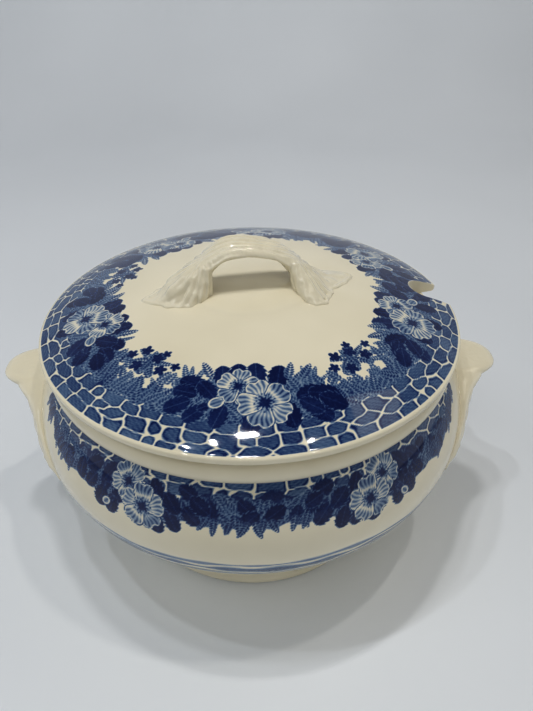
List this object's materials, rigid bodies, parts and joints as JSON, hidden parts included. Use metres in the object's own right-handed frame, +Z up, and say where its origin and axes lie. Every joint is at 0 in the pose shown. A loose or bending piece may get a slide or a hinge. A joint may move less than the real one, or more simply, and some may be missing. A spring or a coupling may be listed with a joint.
{
  "type": "soup tureen",
  "caption": "Round footed soup tureen with two shelf-like lugs, a lift-off domed lid with a ladle notch and a branch-shaped arch handle, printed borders.",
  "frame": {"origin": "centre of the base, on the table", "axes": "+X through the right lug, +Z up; the lid is turned 7.5 degrees anticlockwise from the lug line, seen from above"},
  "size_m": [0.2892, 0.247, 0.1818],
  "materials": {
    "plain_glaze": "warm ivory glaze, glossy",
    "printed_bowl": "warm ivory glaze with a cobalt blue underglaze print, glossy",
    "printed_lid": "warm ivory glaze with a cobalt blue underglaze print, glossy"
  },
  "bodies": {
    "bowl": {"bowl_body": "printed_bowl", "foot_ring": "plain_glaze", "lug_left": "plain_glaze", "lug_right": "plain_glaze"},
    "lid": {"lid_dome": "printed_lid", "lid_flange": "plain_glaze", "branch_handle": "plain_glaze"}
  },
  "joints": [
    {"name": "lid_lift", "type": "slide", "parent": "bowl", "child": "lid", "axis": [0, 0, 1], "range_m": [0, 0.12]}
  ]
}
